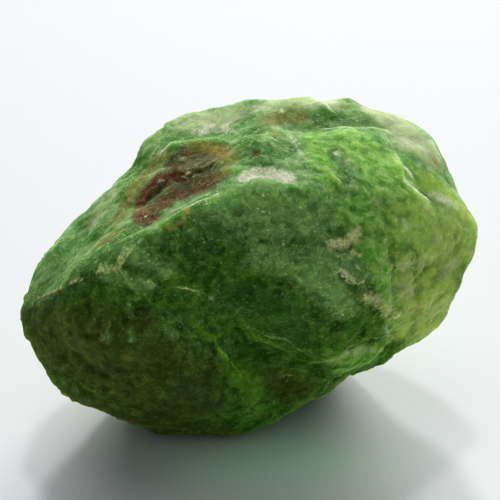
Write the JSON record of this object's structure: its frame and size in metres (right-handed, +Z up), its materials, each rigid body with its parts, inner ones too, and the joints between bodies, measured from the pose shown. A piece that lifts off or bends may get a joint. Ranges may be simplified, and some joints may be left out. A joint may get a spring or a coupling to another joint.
{
  "type": "raw grossular",
  "caption": "Rough broken piece of translucent green grossular garnet with a brown-stained hollow, resting on a small flat broken face.",
  "frame": {"origin": "centre of the stone's box, on the surface that the stone rests on", "axes": "+X along the stone, to its pointed right end as pictured; +Y to its back; +Z up"},
  "size_m": [0.0264, 0.0182, 0.0176],
  "materials": {
    "garnet": "cloudy translucent green, low gloss, with pale flecks and brown stains"
  },
  "bodies": {
    "root": {"grossular": "garnet"}
  },
  "joints": []
}
